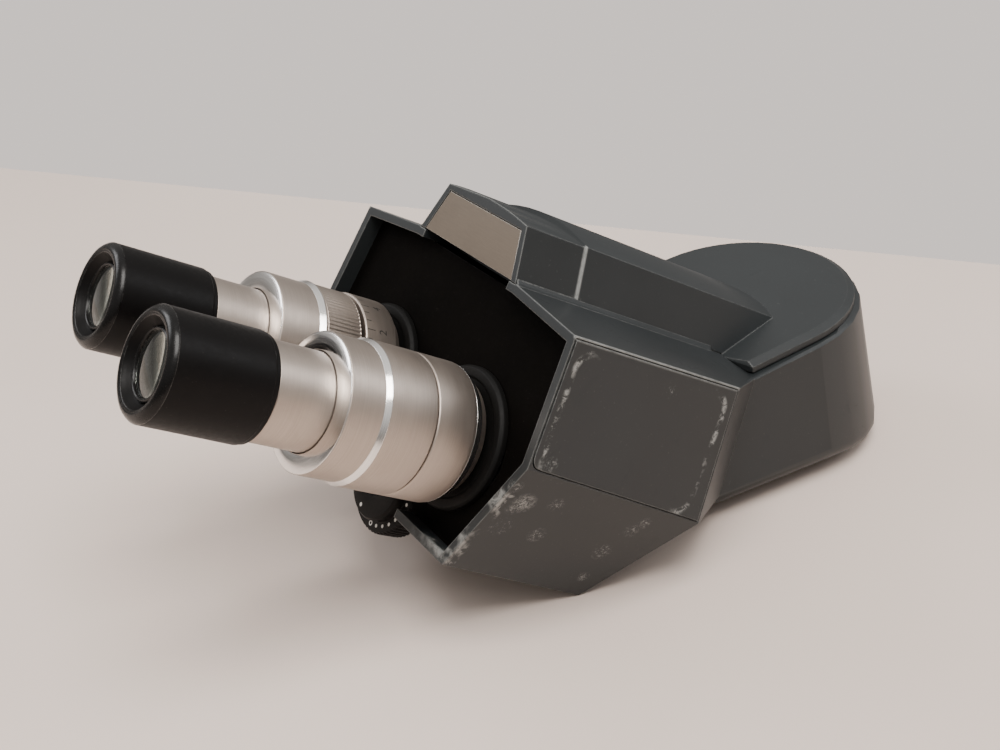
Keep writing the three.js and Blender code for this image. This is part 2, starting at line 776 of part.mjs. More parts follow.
function makeSlidingTube(side) {
  const sign = side === 'right' ? 1 : -1;
  const x = sign * rightX;
  const placed = (geometry) => (sign > 0 ? geometry : flipped(geometry));
  add(`${side}_carriage`, makeCarriage(), castAlloy, x);
  add(`${side}_prism`, placed(tubePrism().translate(0, 0, prismZ)), glass, x);
  add(`${side}_prism_holder`, placed(toGeometry(makePrismHolder())), castAlloy, x);
  add(`${side}_tube_collar`, makeCollar(), black, x);
}

function makeRack(side) {
  const reach = eyeSpacingHigh / 2 + 3.5;
  const foot = 10;
  const outline = side === 'right'
    ? rackOutline(-reach + rightX, -foot + rightX)
    : rackOutline(foot - rightX, reach - rightX);
  const bar = slab(outline, rackFrontZ - rackDepth, rackFrontZ);
  if (side === 'right') return bar.translate(0, transferY + pitchRadius, 0);
  return bar.applyMatrix4(new THREE.Matrix4().makeScale(1, -1, 1)).translate(0, transferY - pitchRadius, 0);
}

function makeDial() {
  return turned([
    [dialShaftRadius + gap, dialRearZ],
    [dialRadius, dialRearZ],
    [dialRadius, dialRimZ - 0.7],
    [dialRadius - 0.7, dialRimZ],
    [dialFaceRadius + 0.8, dialRimZ],
    [dialFaceRadius + 0.8, dialFrontZ - 1],
    [dialFaceRadius, dialFrontZ],
    [dialShaftRadius + 4, dialFrontZ],
    [dialShaftRadius + 4, dialFrontZ - 1.5],
    [dialShaftRadius + gap, dialFrontZ - 1.5],
  ]);
}

add('nameplate', makeNameplate(), plate);
const cheekPanel = cheekPlate(panelEdge, -panelThick + panelProud, panelProud);
add('side_panel_right', cheekPanel, paint);
add('side_panel_left', flipped(cheekPanel), paint);
add('front_baffle', makeBaffle(), black);
add('mount_ring', makeMountRing(), steel);
const mountLens = tableDisc(mountBore + 2 - gap, tableZ + mountLensZ + gap, tableZ + mountHeight - 1);
add('mount_lens', mountLens, glass);
add('slide_frame', makeSlideFrame(), castAlloy);
add('upper_guide_rod', makeGuideRod(upperRodY, upperRodHalf), steel);
add('lower_guide_rod', makeGuideRod(lowerRodY, lowerRodHalf), steel);

for (const side of ['right', 'left']) {
  makeSlidingTube(side);
  add(`${side}_rack`, makeRack(side), brass);
}
add('right_tube_core', makeCore(rightFrontZ - 4 - gap), black, rightX);
add('right_base_ring', makeBaseRing(rightJointZ - gap), silver, rightX);
add('right_tube_sleeve', makeSleeve(rightJointZ, rightBandZ, rightFrontZ), silver, rightX);
add('right_eyepiece_socket', makeSocket(rightFrontZ), silver, rightX);
makeEyepiece('right', rightFrontZ, rightX);

const ringFrontZ = leftBandZ - gap;
add('left_tube_core', makeCore(leftBandZ + 1), black, -rightX);
add('left_scale_ring', makeBaseRing(leftJointZ), silver, -rightX);
const dioptreRing = tube(sleeveRadius + 0.6, coreRadius + gap, leftJointZ + dioptreGap, ringFrontZ);
add('left_dioptre_ring', dioptreRing, silver, -rightX);
add('left_focus_sleeve', makeSleeve(leftBandZ, leftBandZ + 0.5, leftFrontZ), silver, -rightX);
add('left_eyepiece_socket', makeSocket(leftFrontZ), silver, -rightX);
makeEyepiece('left', leftFrontZ, -rightX);

add('ipd_dial', makeDial(), black, 0, dialY);
add('dial_gear', without(
  solid(slab(gearOutline(), dialGearZ - dialGearDepth, dialGearZ).rotateZ(Math.PI / gearTeeth)),
  solid(rod(dialShaftRadius + gap, dialGearZ - 9, dialGearZ + 9)),
), brass, 0, dialY);
const dialShaftRear = dialGearZ - dialGearDepth - 1 - dialPostThick;
add('dial_shaft', rod(dialShaftRadius, dialShaftRear, dialFrontZ - 2), steel, 0, dialY);
add('transfer_pinion', without(
  solid(slab(gearOutline(), dialGearZ - dialGearDepth, rackFrontZ)),
  solid(rod(dialShaftRadius + gap, dialGearZ - 9, rackFrontZ + 9)),
), brass, 0, transferY);
add('transfer_shaft', rod(dialShaftRadius, frameZ - frameThick, rackFrontZ + 1), steel, 0, transferY);

const splitterHalf = splitterSide / 2;
function splitterPrism(sign) {
  const away = gap * Math.SQRT2;
  const long = splitterHalf * sign;
  const short = (away - splitterHalf) * sign;
  const outline = [[short, long], [long, long], [long, short]];
  const prism = slab(outline, -splitterHalf, splitterHalf);
  return prism.rotateX(Math.PI / 2).applyMatrix4(new THREE.Matrix4().makeScale(1, -1, 1));
}
add('splitter_front_prism', splitterPrism(1), glass, 0, 0, prismZ);
add('splitter_rear_prism', splitterPrism(-1), glass, 0, 0, prismZ);
const tableTop = splitterHalf + gap;
const splitterShelf = box(-12, 12, tableTop, tableTop + 2.2, frameZ + gap, prismZ + splitterHalf);
const splitterFoot = box(-12, 12, tableTop, 17, frameZ + gap, frameZ + 2.5);
add('splitter_table', joined(solid(splitterShelf), solid(splitterFoot)), castAlloy);

// The line of a mirror at [y, z] in the cap's frame that turns light going along `from` into `to`,
// as points at a share of its half length and a depth behind its face.
function mirrorLine(y, z, from, to, half) {
  const normal = new THREE.Vector2(to[0] - from[0], to[1] - from[1]).normalize();
  const along = new THREE.Vector2(-normal.y, normal.x);
  return (share, depth) => [
    y + along.x * half * share - normal.x * depth,
    z + along.y * half * share - normal.y * depth,
  ];
}

// An outline of [y, z] corners in the cap's frame, as wide as a mirror.
function acrossHead(points, halfWidth) {
  const wide = [-halfWidth, halfWidth].flatMap((x) => points.map(([y, z]) => fromCap(x, y, z)));
  return new ConvexGeometry(wide);
}

function makeMirror(line) {
  const section = [line(-1, 0), line(1, 0), line(1, mirrorThick), line(-1, mirrorThick)];
  return acrossHead(section, mirrorHalfWidth);
}

const intoTubes = [-Math.cos(tilt), Math.sin(tilt)];
const upFromMount = [Math.sin(leanAngle), Math.cos(leanAngle)];
const forward = [-1, 0];
const bendLine = mirrorLine(bendY, beamZ, forward, intoTubes, bendMirrorHalf);
const mountLine = mirrorLine(mountY, beamZ, upFromMount, forward, mountMirrorHalf);
add('inclination_mirror', makeMirror(bendLine), glass);
const backDepth = mirrorThick + gap;
const [bendHigh, bendLow] = [bendLine(-1, backDepth), bendLine(1, backDepth)]
  .sort((p, q) => q[1] - p[1]);
const bendFeet = [[bendHigh[0], floorZ], [bendLow[0], floorZ]];
const bendBlock = acrossHead([bendHigh, bendLow, ...bendFeet], mirrorHalfWidth);
add('inclination_mirror_block', bendBlock, castAlloy);
add('mount_mirror', makeMirror(mountLine), glass);
const [mountHigh, mountLow] = [mountLine(-1, backDepth), mountLine(1, backDepth)]
  .sort((p, q) => q[1] - p[1]);
const blockRear = mountY + mountNeckRadius + 7;
const footZ = bodyBottom(mountY + mountNeckRadius) + wall + gap;
const footLength = 6;
const mountBlock = acrossHead([
  mountHigh,
  mountLow,
  [blockRear - footLength, footZ],
  [blockRear, footZ],
  [blockRear, mountHigh[1]],
], mirrorHalfWidth);
const ringSpace = tableDisc(mountNeckRadius + gap, tableZ - 1, tableZ + mountHeight + gap);
add('mount_mirror_block', without(solid(mountBlock), solid(ringSpace)), castAlloy);

head.rotation.x = -tableTurn;
head.updateMatrixWorld(true);
const bounds = new THREE.Box3();
head.traverse((piece) => {
  if (piece.isMesh) bounds.expandByObject(piece, true);
});
const middle = bounds.getCenter(new THREE.Vector3());
head.position.set(-middle.x, -middle.y, -bounds.min.z);

export default head;
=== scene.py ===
import json
import math

import bmesh
import bpy
from mathutils import Matrix, Vector


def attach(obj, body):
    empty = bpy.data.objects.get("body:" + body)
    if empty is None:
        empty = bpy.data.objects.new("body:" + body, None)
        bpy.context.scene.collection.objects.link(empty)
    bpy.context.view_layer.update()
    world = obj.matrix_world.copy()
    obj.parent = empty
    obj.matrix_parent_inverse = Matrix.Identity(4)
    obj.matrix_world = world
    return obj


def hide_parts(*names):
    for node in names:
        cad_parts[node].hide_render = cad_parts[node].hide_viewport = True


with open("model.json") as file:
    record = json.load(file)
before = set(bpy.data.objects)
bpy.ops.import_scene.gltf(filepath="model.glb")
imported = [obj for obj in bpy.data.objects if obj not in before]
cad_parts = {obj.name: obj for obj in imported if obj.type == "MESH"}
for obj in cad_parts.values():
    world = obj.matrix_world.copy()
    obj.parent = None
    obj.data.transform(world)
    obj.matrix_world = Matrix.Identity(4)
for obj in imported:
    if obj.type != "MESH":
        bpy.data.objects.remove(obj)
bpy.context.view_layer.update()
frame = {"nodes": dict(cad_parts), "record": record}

MM = 0.001

# ---------- sizes in mm, in the frame of the eyetubes ----------
# x runs to the user's right, u up across the tubes and a along them towards the eyes.
TUBE_X = 28.6  # each tube's axis, left and right of the middle
RIGHT_FRONT = 49.8  # front faces of the two sleeves
LEFT_FRONT = 45.6
CORE = 18.3
NECK = 14.3
BAND = 22.2
SLEEVE = 21.2
SOCKET = 14.9
SOCKET_BORE = 11.9
SOCKET_OUT = 18.4  # how far a socket stands out of its sleeve, and reaches into it
SOCKET_IN = 22
END = 20.3
RING_REAR = -1.9
RIGHT_BAND_A = 35.6  # rear edges of the two polished bands
LEFT_BAND_A = 29.1
CHAMFER_SEAT = 15.45  # radius where the polished front face meets the socket
CHAMFER_EDGE = SLEEVE - 0.2
CHAMFER_BACK = 0.86
CHAMFER_OUT = 0.2
CAP = 16.5
CAP_LENGTH = 31.1
CAP_NOSE = 1.8
CAP_SEAT = 18.7  # from the sleeve's front face to the cap
LENS = 10.2
LENS_CROWN = 1.7
KNURL_FROM, KNURL_TO = 15.6, 27.6
KNURL_DEPTH, KNURL_RIDGES = 0.34, 96
COLLAR = 23.1
DIAL_U = -28.5
DIAL_A = -4.0
DIAL_RIM_A = -8.0
DIAL = 18.3
FLUTE_DEPTH, FLUTES = 0.45, 60
PROUD = 0.03  # how far prints and polished skins stand off their surface
HUMP_FOOT = Vector((30.2, 51.7))  # where the hump meets a shoulder, as x and u
SHOULDER_WAY = Vector((0.9944, -0.1057))  # from there down the shoulder
HUMP_WAY = Vector((-0.3356, 0.9420))  # and up the hump's side
FILLET = 1.7
SHOULDER_EDGE = (65.0, 48.0)
WAIST_EDGE = (69.7, 6.0)
HOOD_FRONT = -1.6
PANEL_MIDDLE = -37.3
CREASE_A = -26.2
SCALE_A = 13.2
SCALE_ZERO, SCALE_STEP = 20, 9  # degrees round the tube

# ---------- the camera and the table's far edge ----------
# The camera's place, and its right, down and forward directions, in the frame of the eyetubes.
CAMERA_PLACE = (354.0, 97.2, 251.9)
CAMERA_RIGHT = (0.520556, 0.396828, -0.756009)
CAMERA_DOWN = (0.377934, -0.90106, -0.212736)
CAMERA_AHEAD = (-0.765629, -0.17498, -0.619027)
SENSOR_MM, LENS_MM = 36, 49.1724
FAR_EDGE = ((-0.524, -0.069, 0), (-0.040, 0.287, 0))
TABLE_RUN, TABLE_DEPTH = 3, 5
TABLE_DROP = 0.0002

# ---------- the frame of the eyetubes ----------
dial = next(j for j in frame["record"]["behaviour"]["joints"] if j["name"] == "dial_turn")
A = Vector(dial["axis"]).normalized()
X = Vector((1, 0, 0))
U = A.cross(X)
ORIGIN = Vector(dial["pos_m"]) - U * DIAL_U * MM - A * DIAL_A * MM
TUBES = Matrix((
    (X.x, U.x, A.x, ORIGIN.x),
    (X.y, U.y, A.y, ORIGIN.y),
    (X.z, U.z, A.z, ORIGIN.z),
    (0, 0, 0, 1),
))


def at(x, u, a):
    return TUBES @ Vector((x * MM, u * MM, a * MM))


# ---------- materials ----------
class Look:
    """A node material with short names for what every finish here needs."""

    def __init__(self, name):
        self.mat = bpy.data.materials.new(name)
        self.mat.use_nodes = True
        self.tree = self.mat.node_tree
        self.tree.nodes.clear()
        self.out = self.node("ShaderNodeOutputMaterial")
        self.bsdf = self.node("ShaderNodeBsdfPrincipled")
        self.link(self.bsdf.outputs[0], self.out.inputs[0])
        self.coords = self.node("ShaderNodeTexCoord").outputs["Object"]

    def node(self, kind, **props):
        made = self.tree.nodes.new(kind)
        for key, value in props.items():
            setattr(made, key, value)
        return made

    def link(self, a, b):
        self.tree.links.new(a, b)

    def put(self, socket, value):
        if isinstance(value, bpy.types.NodeSocket):
            self.link(value, socket)
        else:
            socket.default_value = value

    def set(self, **values):
        for key, value in values.items():
            self.put(self.bsdf.inputs[key.replace("_", " ")], value)

    def math(self, op, a, b=0.0, c=0.0, clamp=False):
        n = self.node("ShaderNodeMath", operation=op, use_clamp=clamp)
        for i, v in enumerate((a, b, c)):
            self.put(n.inputs[i], v)
        return n.outputs[0]

    def noise(self, scale, detail=4.0, rough=0.55, where=None, dist=0.0):
        n = self.node("ShaderNodeTexNoise")
        self.put(n.inputs["Vector"], where or self.coords)
        self.put(n.inputs["Scale"], scale)
        self.put(n.inputs["Detail"], detail)
        self.put(n.inputs["Roughness"], rough)
        self.put(n.inputs["Distortion"], dist)
        return n.outputs["Fac"]

    def ramp(self, value, low, high, to_low=0.0, to_high=1.0):
        n = self.node("ShaderNodeMapRange")
        for key, v in (("Value", value), ("From Min", low), ("From Max", high),
                       ("To Min", to_low), ("To Max", to_high)):
            self.put(n.inputs[key], v)
        return n.outputs[0]

    def mix(self, factor, a, b):
        n = self.node("ShaderNodeMix", data_type="RGBA")
        self.put(n.inputs[0], factor)
        self.put(n.inputs[6], a)
        self.put(n.inputs[7], b)
        return n.outputs[2]

    def stretched(self, along, factor):
        """Coordinates in the tubes' frame, squeezed along one of its axes."""
        turn = TUBES.to_3x3().to_quaternion().inverted().to_euler()
        m = self.node("ShaderNodeMapping")
        self.put(m.inputs["Vector"], self.coords)
        m.inputs["Rotation"].default_value = turn
        n = self.node("ShaderNodeMapping")
        self.link(m.outputs[0], n.inputs["Vector"])
        n.inputs["Scale"].default_value = tuple(factor if c == along else 1.0 for c in "xua")
        return n.outputs[0]

    def bump(self, height, strength, distance=0.0002, normal=None):
        n = self.node("ShaderNodeBump")
        n.inputs["Strength"].default_value = strength
        n.inputs["Distance"].default_value = distance
        self.link(height, n.inputs["Height"])
        if normal is not None:
            self.link(normal, n.inputs["Normal"])
        return n.outputs[0]

    def edges(self, radius):
        """The rounded normal near edges, and how much it differs from the flat one."""
        b = self.node("ShaderNodeBevel", samples=6)
        b.inputs["Radius"].default_value = radius
        g = self.node("ShaderNodeNewGeometry")
        d = self.node("ShaderNodeVectorMath", operation="DOT_PRODUCT")
        self.link(b.outputs[0], d.inputs[0])
        self.link(g.outputs["Normal"], d.inputs[1])
        return b.outputs[0], self.math("SUBTRACT", 1.0, d.outputs["Value"])

    def tube_mm(self, axis):
        """The x, u or a of the shaded point, in mm."""
        d = self.node("ShaderNodeVectorMath", operation="DOT_PRODUCT")
        self.link(self.coords, d.inputs[0])
        along = {"x": X, "u": U, "a": A}[axis]
        d.inputs[1].default_value = along / MM
        return self.math("SUBTRACT", d.outputs["Value"], along.dot(ORIGIN) / MM)

    def band(self, off, half):
        """1 near an offset of 0, falling to 0 at the half width."""
        return self.ramp(off, half * 0.25, half, 1.0, 0.0)

    def away(self, axis, middle):
        """How far the shaded point lies from a value of x, u or a, in mm."""
        return self.math("ABSOLUTE", self.math("SUBTRACT", self.tube_mm(axis), middle))

    def length(self, a, b):
        square = self.math("ADD", self.math("MULTIPLY", a, a), self.math("MULTIPLY", b, b))
        return self.math("SQRT", square)

    def brightest(self, *values):
        top = values[0]
        for value in values[1:]:
            top = self.math("MAXIMUM", top, value)
        return top

    def times(self, *values):
        product = values[0]
        for value in values[1:]:
            product = self.math("MULTIPLY", product, value)
        return product

    def line(self, x, u, half):
        """1 on the lines parallel to the tubes through (x, u) and (-x, u)."""
        dx = self.math("SUBTRACT", self.math("ABSOLUTE", self.tube_mm("x")), x)
        du = self.math("SUBTRACT", self.tube_mm("u"), u)
        return self.ramp(self.length(dx, du), half * 0.3, half, 1.0, 0.0)

    def rounded_frame(self, a_mid, a_half, u_mid, u_half, corner, half):
        """1 on the outline of a rounded rectangle in the a and u directions."""
        past_a = self.math("SUBTRACT", self.away("a", a_mid), a_half - corner)
        past_u = self.math("SUBTRACT", self.away("u", u_mid), u_half - corner)
        out = self.length(self.brightest(past_a, 0.0), self.brightest(past_u, 0.0))
        within = self.math("MINIMUM", self.brightest(past_a, past_u), 0.0)
        off = self.math("ABSOLUTE", self.math("SUBTRACT", self.math("ADD", out, within), corner))
        return self.band(off, half)

    def near(self, point, radius):
        """1 at a point, falling to 0 at the radius."""
        d = self.node("ShaderNodeVectorMath", operation="DISTANCE")
        self.link(self.coords, d.inputs[0])
        d.inputs[1].default_value = point
        return self.ramp(d.outputs["Value"], radius * 0.25, radius, 1.0, 0.0)


def shaded(colour, factor):
    return (*[c * factor for c in colour], 1)


def paint(name, wear, bright_edge, chips, marks):
    """Worn grey enamel: chips are (point, radius, amount), marks(look) is a mask of rubbed lines."""
    look = Look(name)
    cloud = look.noise(14.0, 3.0)
    grain = look.noise(2600.0, 2.0)
    fine = look.noise(420.0, 5.0, 0.7)
    tone = look.mix(look.ramp(cloud, 0.35, 0.7), shaded(PAINT, 0.86), shaded(PAINT, 1.14))
    dust = look.ramp(look.noise(950.0, 2.0, 0.6), 0.66, 0.74)
    tone = look.mix(look.times(dust, 0.07), tone, PAINT_DUST)
    normal, look.edge = look.edges(0.0007)
    look.soft = look.ramp(fine, 0.30, 0.62, 0.45, 1.0)
    look.broad = look.ramp(look.edge, 0.02, 0.12)
    look.fine = fine
    look.flakes = look.noise(330.0, 6.0, 0.75, dist=0.6)
    rubbed = look.times(look.ramp(look.edge, 0.02, 0.16), look.ramp(fine, 0.42, 0.58), wear)
    outline = look.times(look.ramp(look.edge, 0.03, 0.12), bright_edge)
    worn = look.brightest(rubbed, outline)
    specks = look.noise(900.0, 8.0, 0.85)
    for point, radius, amount in chips:
        gone = look.ramp(specks, 0.60 - amount, 0.70 - amount, 0.0, 0.62)
        worn = look.brightest(worn, look.times(look.near(at(*point), radius), gone))
    worn = look.brightest(worn, marks(look))
    scuffs = look.ramp(look.noise(60.0, 5.0, 0.65, dist=1.5), 0.60, 0.72)
    height = look.math("ADD", look.times(grain, 0.5), look.times(worn, -0.8))
    look.set(Base_Color=look.mix(worn, tone, BARE_UNDER_PAINT), Specular_IOR_Level=0.36,
             Roughness=look.math("ADD", look.ramp(cloud, 0.3, 0.7, 0.36, 0.47), look.times(scuffs, 0.10)),
             Normal=look.bump(height, 0.16, 0.0001, normal))
    return look.mat


def turned_metal(name, base, roughness=0.3, rings=1.0, polish=0.0):
    """Metal turned in a lathe: fine rings round the axis and a soft satin."""
    look = Look(name)
    lines = look.noise(30.0, 2.0, 0.5, look.stretched("a", 260.0))
    fine = look.noise(90.0, 2.0, 0.5, look.stretched("a", 90.0))
    cloud = look.noise(35.0, 4.0)
    smudge = look.ramp(look.noise(70.0, 5.0, 0.6, dist=0.8), 0.52, 0.75)
    light = shaded(base, 1.03)
    tone = look.mix(look.ramp(lines, 0.35, 0.65), shaded(base, 0.93), light)
    tone = look.mix(look.times(smudge, 0.22), tone, (base[0] * 0.62, base[1] * 0.58, base[2] * 0.54, 1))
    rough = look.math("ADD", look.ramp(fine, 0.3, 0.7, roughness - 0.05, roughness + 0.07),
                      look.ramp(cloud, 0.3, 0.7, -0.02, 0.05))
    normal, edge = look.edges(0.00035)
    look.set(Base_Color=look.mix(look.times(look.ramp(edge, 0.03, 0.2), 0.5), tone, light),
             Metallic=1.0, Roughness=look.math("SUBTRACT", rough, polish, clamp=True),
             Normal=look.bump(lines, 0.02 * rings, 0.00002, normal))
    return look.mat


def black_finish(name, base, rough, wear, shine):
    """Black lacquer or anodising, a little dusty and rubbed grey at its edges."""
    look = Look(name)
    fine = look.noise(700.0, 4.0, 0.65)
    cloud = look.noise(40.0, 4.0)
    normal, edge = look.edges(0.0004)
    worn = look.times(look.ramp(edge, 0.02, 0.2), look.ramp(look.noise(300.0, 5.0, 0.7), 0.40, 0.6))
    dust = look.ramp(look.noise(1200.0, 2.0, 0.6), 0.69, 0.75)
    tone = look.mix(look.ramp(cloud, 0.3, 0.7), shaded(base, 0.8), shaded(base, 1.5))
    tone = look.mix(look.times(dust, 0.06), tone, BLACK_DUST)
    look.set(Base_Color=look.mix(look.times(worn, wear), tone, BARE_UNDER_BLACK),
             Roughness=look.ramp(fine, 0.3, 0.7, rough - 0.05, rough + 0.08),
             Specular_IOR_Level=shine, Normal=look.bump(fine, 0.06, 0.00008, normal))
    return look.mat


def cast_metal(name, base):
    """Bare cast alloy with small pits and brighter edges."""
    look = Look(name)
    pits = look.noise(500.0, 6.0, 0.7)
    cloud = look.noise(30.0, 4.0)
    normal, edge = look.edges(0.0005)
    tone = look.mix(look.ramp(cloud, 0.3, 0.7), shaded(base, 0.75), shaded(base, 1.25))
    look.set(Base_Color=look.mix(look.ramp(edge, 0.02, 0.2), tone, (0.5, 0.5, 0.5, 1)), Metallic=0.85,
             Roughness=look.ramp(pits, 0.3, 0.7, 0.38, 0.6), Normal=look.bump(pits, 0.35, 0.0001, normal))
    return look.mat


def coated_glass(name, tint, cloudy):
    """Optical glass with a greenish coating, a little haze and dust."""
    look = Look(name)
    haze = look.noise(60.0, 4.0)
    speck = look.ramp(look.noise(900.0, 2.0), 0.70, 0.76)
    look.set(Base_Color=look.mix(haze, tint, cloudy), IOR=1.50,
             Roughness=look.math("ADD", look.ramp(haze, 0.3, 0.7, 0.01, 0.03), look.times(speck, 0.1)),
             Transmission_Weight=0.985, Coat_Weight=0.15, Coat_Roughness=0.02,
             Coat_Tint=(0.75, 0.9, 0.82, 1))
    return look.mat


def plate_finish(name, base):
    """Brushed, yellowed metal for the blank nameplate."""
    look = Look(name)
    brushed = look.noise(160.0, 3.0, 0.6, look.stretched("u", 14.0))
    cloud = look.noise(60.0, 4.0)
    speck = look.ramp(look.noise(600.0, 3.0), 0.64, 0.72)
    tone = look.mix(look.ramp(brushed, 0.3, 0.7), shaded(base, 0.95), shaded(base, 1.05))
    tone = look.mix(look.times(speck, 0.15), tone, (0.2, 0.17, 0.14, 1))
    normal, edge = look.edges(0.0003)
    look.set(Base_Color=look.mix(look.ramp(edge, 0.02, 0.2), tone, (0.75, 0.72, 0.68, 1)), Metallic=0.55,
             Roughness=look.ramp(cloud, 0.3, 0.7, 0.34, 0.5),
             Normal=look.bump(brushed, 0.06, 0.00005, normal))
    return look.mat


def ink(name, colour):
    """Paint in a print or an engraved mark, a little rubbed."""
    look = Look(name)
    rub = look.noise(1500.0, 4.0, 0.7)
    faded = (*[c * 0.6 + 0.08 for c in colour], 1)
    look.set(Base_Color=look.mix(look.ramp(rub, 0.55, 0.75), shaded(colour, 1), faded),
             Roughness=look.ramp(rub, 0.3, 0.7, 0.45, 0.6))
    return look.mat


PAINT = (0.0158, 0.0184, 0.0196)
PAINT_DUST = (0.22, 0.22, 0.21, 1)
BARE_UNDER_PAINT = (0.36, 0.365, 0.35, 1)
BLACK_DUST = (0.20, 0.18, 0.16, 1)
BARE_UNDER_BLACK = (0.30, 0.29, 0.28, 1)

# Chips, as [x, u, a] in mm, a radius in metres and how much of the paint has gone.
keel_chips = [
    ((64.7, -4.2, -9.8), 0.0046, 0.15),
    ((63.6, -7.0, -8.0), 0.0030, 0.10),
    ((66.6, 0.8, -2.6), 0.0028, 0.11),
    ((60.3, -14.3, -9.1), 0.0050, 0.05),
    ((60.6, -14.7, -23.5), 0.0036, 0.10),
    ((65.9, -2.2, -20.7), 0.0032, 0.09),
    ((61.0, -16.1, -52.0), 0.0040, 0.09),
    ((56.1, -27.6, -54.0), 0.0026, 0.10),
    ((65.6, -5.5, -55.2), 0.0034, 0.09),
    ((67.3, -1.7, -57.2), 0.0030, 0.10),
    ((-61.0, -12.0, -16.0), 0.0050, 0.08),
    ((-57.0, -22.0, -44.0), 0.0040, 0.08),
]
cover_chips = [((30, 52, -26), 0.003, 0.10), ((33, 51, -25), 0.0035, 0.06)]
panel_chips = [((65.6, 41, -44.7), 0.0028, 0.04), ((68.9, 10.5, -9.0), 0.003, 0.08)]


def housing_marks(look):
    """Rubbed lines on the hood: its front rim, its shoulder edge and the jowl's front edge."""
    shoulder_edge = look.times(
        look.line(*SHOULDER_EDGE, 1.15), look.ramp(look.tube_mm("a"), -76.0, -72.0), look.soft, 0.62)
    fold = look.times(look.line(*WAIST_EDGE, 2.4), look.ramp(look.edge, 0.01, 0.1), look.soft, 0.30)
    rim = look.times(look.band(look.away("a", HOOD_FRONT), 1.3), look.broad, look.soft, 0.42)
    jowl = look.times(
        look.ramp(look.tube_mm("u"), 1.5, -1.0), look.ramp(look.tube_mm("u"), -34.0, -31.0),
        look.ramp(look.tube_mm("x"), 30.0, 40.0), look.ramp(look.noise(110.0, 3.0, 0.6), 0.42, 0.55))
    streak_band, scrape_band = look.band(look.away("a", -1.9), 1.25), look.band(look.away("a", -3.6), 1.9)
    streak = look.times(streak_band, jowl, look.ramp(look.flakes, 0.36, 0.5), 0.8)
    scrape = look.times(scrape_band, jowl, look.ramp(look.flakes, 0.50, 0.56), 0.55)
    return look.brightest(shoulder_edge, fold, rim, streak, scrape)


def panel_marks(look):
    """Chips that follow a rounded outline inside the panel's front and rear edges."""
    outline = look.rounded_frame(PANEL_MIDDLE, 32.3, 24.8, 19.8, 6.0, 1.35)
    ends = look.ramp(look.away("a", PANEL_MIDDLE), 24.0, 29.0)
    patches = look.ramp(look.noise(95.0, 3.0, 0.6), 0.47, 0.55)
    chips = look.times(outline, ends, patches, look.ramp(look.flakes, 0.46, 0.54), 0.62)
    top = look.times(look.line(*SHOULDER_EDGE, 1.6), look.soft, 0.7)
    border = look.times(look.broad, look.ramp(look.fine, 0.35, 0.6, 0.3, 1.0), 0.40)
    return look.brightest(chips, top, border)


def cover_marks(look):
    """The rubbed crease down the hump's sides behind its front block, and the front rim."""
    side = look.ramp(look.away("x", 0), 22.5, 23.5)
    patchy = look.ramp(look.fine, 0.28, 0.5, 0.5, 1.0)
    crease = look.times(look.band(look.away("a", CREASE_A), 0.95), side, patchy, 0.62)
    rim = look.times(look.band(look.away("a", HOOD_FRONT), 1.2), look.broad, 0.35)
    return look.brightest(crease, rim)


looks = {
    "housing": paint("housing_enamel", 0.30, 0.10, keel_chips, housing_marks),
    "cover": paint("cover_enamel", 0.25, 0.10, cover_chips, cover_marks),
    "panel": paint("panel_enamel", 0.25, 0.05, panel_chips, panel_marks),
    "silver": turned_metal("satin_aluminium", (0.455, 0.392, 0.345), 0.44),
    "polish": turned_metal("polished_chamfer", (0.90, 0.88, 0.86), 0.17, 0.5, 0.03),
    "steel": turned_metal("turned_steel", (0.55, 0.54, 0.53), 0.28),
    "black": black_finish("black_lacquer", (0.0022, 0.0018, 0.0018), 0.42, 0.3, 0.13),
    "gloss": black_finish("gloss_black_rim", (0.0024, 0.0021, 0.0021), 0.24, 0.3, 0.22),
    "matt": black_finish("matt_black", (0.0016, 0.0012, 0.0009), 0.75, 0.12, 0.04),
    "cast": cast_metal("bare_casting", (0.23, 0.23, 0.235)),
    "brass": turned_metal("cut_brass", (0.70, 0.52, 0.24), 0.3),
    "glass": coated_glass("coated_glass", (0.62, 0.61, 0.56, 1), (0.68, 0.66, 0.64, 1)),
    "mirror": turned_metal("front_silvered", (0.86, 0.87, 0.88), 0.1, 0.1, 0.04),
    "plate": plate_finish("blank_plate", (0.150, 0.120, 0.092)),
    "collar": black_finish("collar_black", (0.003, 0.0028, 0.0026), 0.6, 0.9, 0.15),
    "white": ink("white_paint_fill", (0.72, 0.70, 0.66)),
    "black_ink": ink("black_filled_mark", (0.015, 0.014, 0.013)),
}

slot_of = {s["node"]: s["material_slot"] for s in frame["record"]["subparts"]}
body_of = {n: body for body, nodes in frame["record"]["behaviour"]["bodies"].items() for n in nodes}


matt_nodes = ["front_baffle"]
for side in ("right", "left"):
    matt_nodes += [f"{side}_{part}" for part in ("eyepiece_barrel", "field_stop", "tube_core")]


def dress(obj, look):
    obj.data.materials.clear()
    obj.data.materials.append(looks[look])


for node, obj in frame["nodes"].items():
    slot = slot_of[node]
    dress(obj, "matt" if node in matt_nodes else "housing" if slot == "grey_paint" else slot)


# ---------- making pieces ----------
def linked(name, data):
    obj = bpy.data.objects.new(name, data)
    bpy.context.scene.collection.objects.link(obj)
    return obj


def mesh_of(made, name):
    mesh = bpy.data.meshes.new(name)
    made.to_mesh(mesh)
    made.free()
    return mesh


def piece(name, mesh, look, body, replaced=()):
    obj = linked(name, mesh)
    dress(obj, look)
    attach(obj, body)
    if replaced:
        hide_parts(*replaced)
    return obj


def smooth(mesh, degrees):
    for face in mesh.polygons:
        face.use_smooth = True
    mesh.set_sharp_from_angle(angle=math.radians(degrees))


